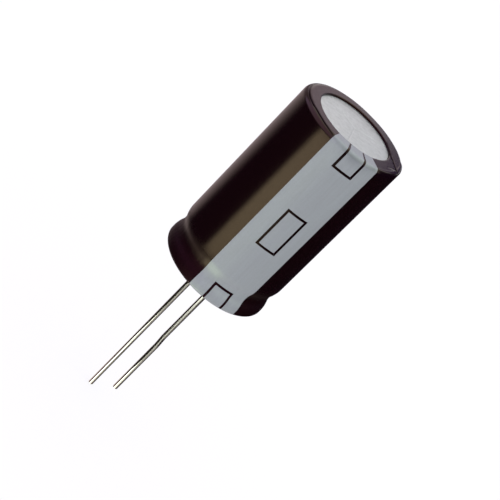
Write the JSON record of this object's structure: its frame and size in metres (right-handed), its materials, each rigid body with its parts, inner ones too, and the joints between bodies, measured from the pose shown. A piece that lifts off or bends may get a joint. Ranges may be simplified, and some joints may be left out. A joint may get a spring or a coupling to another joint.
{
  "type": "electrolytic capacitor",
  "caption": "Upright round capacitor: brown shrink sleeve over an aluminium can with a scored vent, a printed negative stripe, a roll groove and two straight wire leads for board mounting.",
  "frame": {"origin": "centre of the seating plane, midway between the two leads, at the underside of the sleeved rim", "axes": "+Z along the can's axis towards the vented end; the leads point along -Z; -Y from the positive lead towards the negative lead and the printed stripe"},
  "size_m": [0.018, 0.0181, 0.063],
  "materials": {
    "sleeve_film": "glossy dark brown shrink film",
    "silver_ink": "silver-grey print, satin",
    "can_aluminium": "drawn, dull silver",
    "bung_rubber": "matt black moulded rubber",
    "tab_aluminium": "drawn and pressed, satin",
    "tinned_wire": "bright tinned wire",
    "etched_foil": "etched, matt grey",
    "plain_foil": "lightly etched, satin",
    "wet_paper": "paper soaked in electrolyte",
    "closing_tape": "amber film tape"
  },
  "bodies": {
    "root": {"sleeve": "sleeve_film", "stripe_print": "silver_ink", "can": "can_aluminium", "bung": "bung_rubber", "anode_tab": "tab_aluminium", "cathode_tab": "tab_aluminium", "positive_lead": "tinned_wire", "negative_lead": "tinned_wire", "anode_foil": "etched_foil", "cathode_foil": "plain_foil", "inner_separator": "wet_paper", "outer_separator": "wet_paper", "winding_tape": "closing_tape"}
  },
  "joints": []
}
